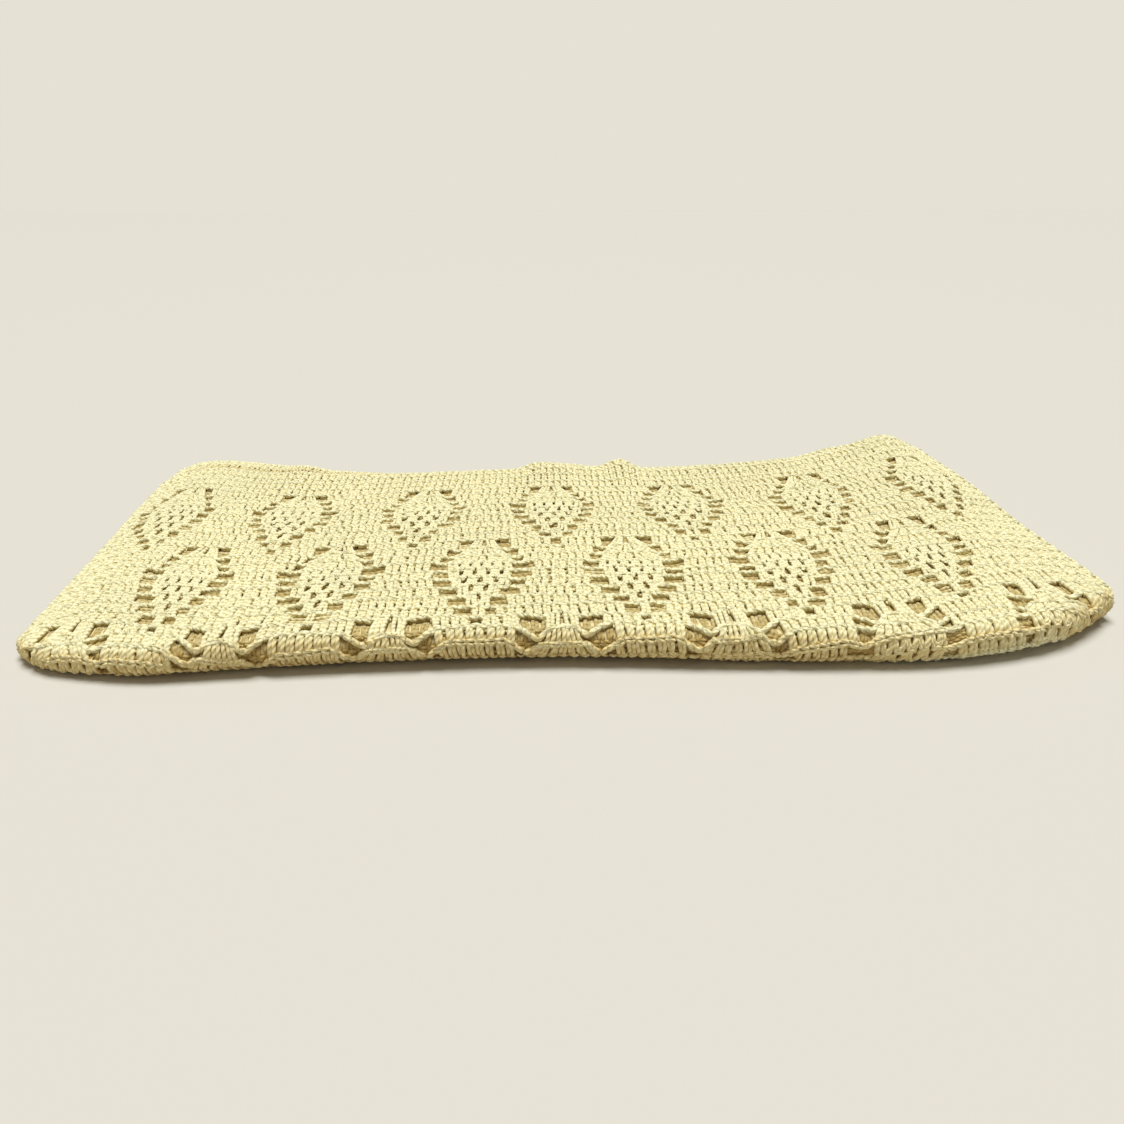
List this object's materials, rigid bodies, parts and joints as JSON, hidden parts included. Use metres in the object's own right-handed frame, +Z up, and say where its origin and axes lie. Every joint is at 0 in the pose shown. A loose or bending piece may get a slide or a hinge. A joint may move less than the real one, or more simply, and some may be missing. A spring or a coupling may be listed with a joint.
{
  "type": "folded crochet afghan",
  "caption": "Cream crochet afghan with staggered pineapple motifs, folded into a flat stack with one free edge on top at the back, a rolled front fold and a lifted right back corner.",
  "frame": {"origin": "bottom centre of the folded afghan's box", "axes": "+Z is up, +X runs along the long front fold towards the end where the cloth is doubled over, and +Y points back towards the free edges."},
  "size_m": [0.74, 0.3628, 0.039],
  "materials": {
    "yarn": "matte"
  },
  "bodies": {
    "root": {"afghan": "yarn"}
  },
  "joints": []
}
